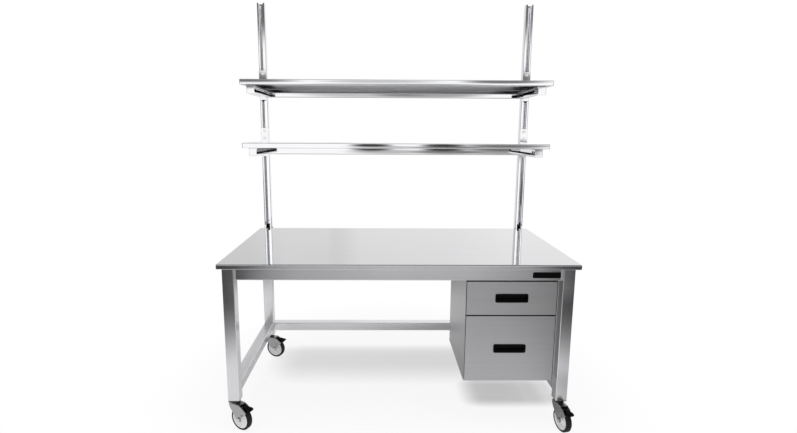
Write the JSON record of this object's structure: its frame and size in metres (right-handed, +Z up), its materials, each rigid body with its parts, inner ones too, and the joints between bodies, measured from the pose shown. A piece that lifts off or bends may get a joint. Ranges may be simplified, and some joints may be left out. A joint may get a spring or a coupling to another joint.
{
  "type": "cleanroom stainless steel table",
  "caption": "Stainless steel cleanroom work table on braked swivel casters, with a hung drawer cabinet and cantilever shelves that slide up and down on slotted rear uprights.",
  "frame": {"origin": "on the floor under the middle of the bounding box", "axes": "+X to the right as seen by the user in front of the table, +Y to the back, +Z up"},
  "size_m": [1.8288, 1.0238, 2.3744],
  "materials": {
    "brushed_stainless": "satin brushed, grain along each tube and panel",
    "polished_stainless": "bright, finely brushed and near mirror",
    "bright_zinc_steel": "bright zinc plated",
    "black_oxide_steel": "black oxide",
    "black_plastic": "moulded, fine satin grain",
    "grey_plastic": "moulded, satin",
    "black_rubber": "moulded rubber, matt"
  },
  "bodies": {
    "frame": {"worktop": "polished_stainless", "worktop_stiffeners": "polished_stainless", "front_left_leg": "brushed_stainless", "rear_left_leg": "brushed_stainless", "left_apron": "brushed_stainless", "left_stretcher": "brushed_stainless", "front_right_leg": "brushed_stainless", "rear_right_leg": "brushed_stainless", "right_apron": "brushed_stainless", "right_stretcher": "brushed_stainless", "front_apron": "brushed_stainless", "rear_apron": "brushed_stainless", "rear_stretcher": "brushed_stainless", "caster_mounts": "bright_zinc_steel", "left_upright": "polished_stainless", "right_upright": "polished_stainless", "upright_bolts": "black_oxide_steel", "cabinet_shell": "brushed_stainless", "slide_outers": "bright_zinc_steel"},
    "front_left_caster": {"front_left_caster_fork": "bright_zinc_steel", "front_left_caster_axle": "bright_zinc_steel"},
    "front_left_wheel": {"front_left_caster_wheel": "grey_plastic", "front_left_caster_tyre": "black_rubber"},
    "front_left_brake": {"front_left_caster_brake_pedal": "black_plastic"},
    "front_right_caster": {"front_right_caster_fork": "bright_zinc_steel", "front_right_caster_axle": "bright_zinc_steel"},
    "front_right_wheel": {"front_right_caster_wheel": "grey_plastic", "front_right_caster_tyre": "black_rubber"},
    "front_right_brake": {"front_right_caster_brake_pedal": "black_plastic"},
    "rear_left_caster": {"rear_left_caster_fork": "bright_zinc_steel", "rear_left_caster_axle": "bright_zinc_steel"},
    "rear_left_wheel": {"rear_left_caster_wheel": "grey_plastic", "rear_left_caster_tyre": "black_rubber"},
    "rear_left_brake": {"rear_left_caster_brake_pedal": "black_plastic"},
    "rear_right_caster": {"rear_right_caster_fork": "bright_zinc_steel", "rear_right_caster_axle": "bright_zinc_steel"},
    "rear_right_wheel": {"rear_right_caster_wheel": "grey_plastic", "rear_right_caster_tyre": "black_rubber"},
    "rear_right_brake": {"rear_right_caster_brake_pedal": "black_plastic"},
    "upper_drawer": {"upper_drawer_front": "brushed_stainless", "upper_drawer_pull": "black_plastic", "upper_drawer_box": "brushed_stainless", "upper_slide_inners": "bright_zinc_steel"},
    "upper_slide": {"upper_slide_middles": "bright_zinc_steel"},
    "upper_shelf_unit": {"upper_shelf": "polished_stainless", "upper_shelf_rail": "polished_stainless", "upper_left_bracket": "polished_stainless", "upper_right_bracket": "polished_stainless", "upper_bracket_bolts": "bright_zinc_steel"},
    "lower_drawer": {"lower_drawer_front": "brushed_stainless", "lower_drawer_pull": "black_plastic", "lower_drawer_box": "brushed_stainless", "lower_slide_inners": "bright_zinc_steel"},
    "lower_slide": {"lower_slide_middles": "bright_zinc_steel"},
    "lower_shelf_unit": {"lower_shelf": "polished_stainless", "lower_shelf_rail": "polished_stainless", "lower_left_bracket": "polished_stainless", "lower_right_bracket": "polished_stainless", "lower_bracket_bolts": "bright_zinc_steel"}
  },
  "joints": [
    {"name": "front_left_swivel", "type": "hinge", "parent": "frame", "child": "front_left_caster", "pos_m": [-0.865, -0.39149, 0.145], "axis": [0, 0, 1], "continuous": true},
    {"name": "front_left_wheel_spin", "type": "hinge", "parent": "front_left_caster", "child": "front_left_wheel", "pos_m": [-0.82863, -0.41249, 0.0635], "axis": [0.5, 0.866, 0], "continuous": true},
    {"name": "front_left_brake_press", "type": "hinge", "parent": "front_left_caster", "child": "front_left_brake", "pos_m": [-0.81127, -0.42251, 0.13203], "axis": [0.5, 0.866, 0], "range_deg": [0, 12]},
    {"name": "front_right_swivel", "type": "hinge", "parent": "frame", "child": "front_right_caster", "pos_m": [0.865, -0.39149, 0.145], "axis": [0, 0, 1], "continuous": true},
    {"name": "front_right_wheel_spin", "type": "hinge", "parent": "front_right_caster", "child": "front_right_wheel", "pos_m": [0.8748, -0.43233, 0.0635], "axis": [0.9724, 0.2334, 0], "continuous": true},
    {"name": "front_right_brake_press", "type": "hinge", "parent": "front_right_caster", "child": "front_right_brake", "pos_m": [0.87948, -0.45182, 0.13203], "axis": [0.9724, 0.2334, 0], "range_deg": [0, 12]},
    {"name": "rear_left_swivel", "type": "hinge", "parent": "frame", "child": "rear_left_caster", "pos_m": [-0.865, 0.43291, 0.145], "axis": [0, 0, 1], "continuous": true},
    {"name": "rear_left_wheel_spin", "type": "hinge", "parent": "rear_left_caster", "child": "rear_left_wheel", "pos_m": [-0.82506, 0.41993, 0.0635], "axis": [0.309, 0.9511, 0], "continuous": true},
    {"name": "rear_left_brake_press", "type": "hinge", "parent": "rear_left_caster", "child": "rear_left_brake", "pos_m": [-0.806, 0.41374, 0.13203], "axis": [0.309, 0.9511, 0], "range_deg": [0, 12]},
    {"name": "rear_right_swivel", "type": "hinge", "parent": "frame", "child": "rear_right_caster", "pos_m": [0.865, 0.43291, 0.145], "axis": [0, 0, 1], "continuous": true},
    {"name": "rear_right_wheel_spin", "type": "hinge", "parent": "rear_right_caster", "child": "rear_right_wheel", "pos_m": [0.83283, 0.40591, 0.0635], "axis": [0.6428, -0.766, 0], "continuous": true},
    {"name": "rear_right_brake_press", "type": "hinge", "parent": "rear_right_caster", "child": "rear_right_brake", "pos_m": [0.81747, 0.39303, 0.13203], "axis": [0.6428, -0.766, 0], "range_deg": [0, 12]},
    {"name": "upper_drawer_pull_out", "type": "slide", "parent": "frame", "child": "upper_drawer", "axis": [0, -1, 0], "range_m": [0, 0.4]},
    {"name": "upper_slide_follow", "type": "slide", "parent": "frame", "child": "upper_slide", "axis": [0, -1, 0], "range_m": [0, 0.2]},
    {"name": "upper_shelf_height", "type": "slide", "parent": "frame", "child": "upper_shelf_unit", "axis": [0, 0, 1], "range_m": [-0.08, 0.4]},
    {"name": "lower_drawer_pull_out", "type": "slide", "parent": "frame", "child": "lower_drawer", "axis": [0, -1, 0], "range_m": [0, 0.4]},
    {"name": "lower_slide_follow", "type": "slide", "parent": "frame", "child": "lower_slide", "axis": [0, -1, 0], "range_m": [0, 0.2]},
    {"name": "lower_shelf_height", "type": "slide", "parent": "frame", "child": "lower_shelf_unit", "axis": [0, 0, 1], "range_m": [-0.4, 0.08]}
  ],
  "couplings": [
    {"joint": "upper_slide_follow", "follows": "upper_drawer_pull_out", "ratio": 0.5},
    {"joint": "lower_slide_follow", "follows": "lower_drawer_pull_out", "ratio": 0.5}
  ]
}
